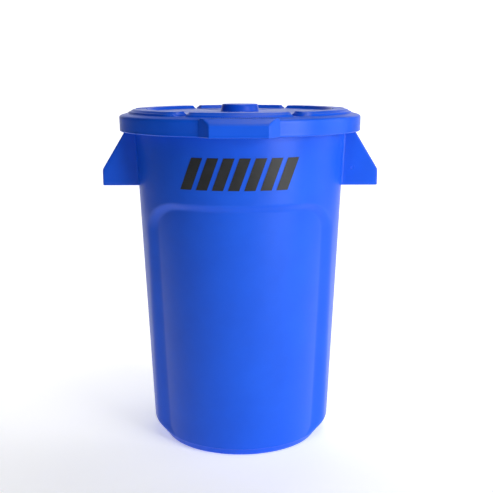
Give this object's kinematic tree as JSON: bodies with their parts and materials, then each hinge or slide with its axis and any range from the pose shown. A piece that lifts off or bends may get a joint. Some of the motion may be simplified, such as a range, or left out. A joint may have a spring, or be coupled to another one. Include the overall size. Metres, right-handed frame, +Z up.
{
  "type": "lidded storage container",
  "caption": "Round tapered storage container with hooded side handles, arched recessed panels, a foot ring and a drop-on lid with raised pads and finger tabs.",
  "frame": {"origin": "centre of the foot ring, on the surface that the container stands on", "axes": "+Z up, -Y towards the printed front, the two handles lie on the X axis"},
  "size_m": [0.3576, 0.34, 0.447],
  "materials": {
    "tub_plastic": "satin moulded polyethylene, royal blue",
    "lid_plastic": "satin moulded polyethylene, royal blue",
    "print_film": "matt black print film"
  },
  "bodies": {
    "tub": {"container": "tub_plastic", "front_print": "print_film"},
    "lid": {"lid": "lid_plastic"}
  },
  "joints": [
    {"name": "lid_lift", "type": "slide", "parent": "tub", "child": "lid", "axis": [0, 0, 1], "range_m": [0, 0.12]}
  ]
}
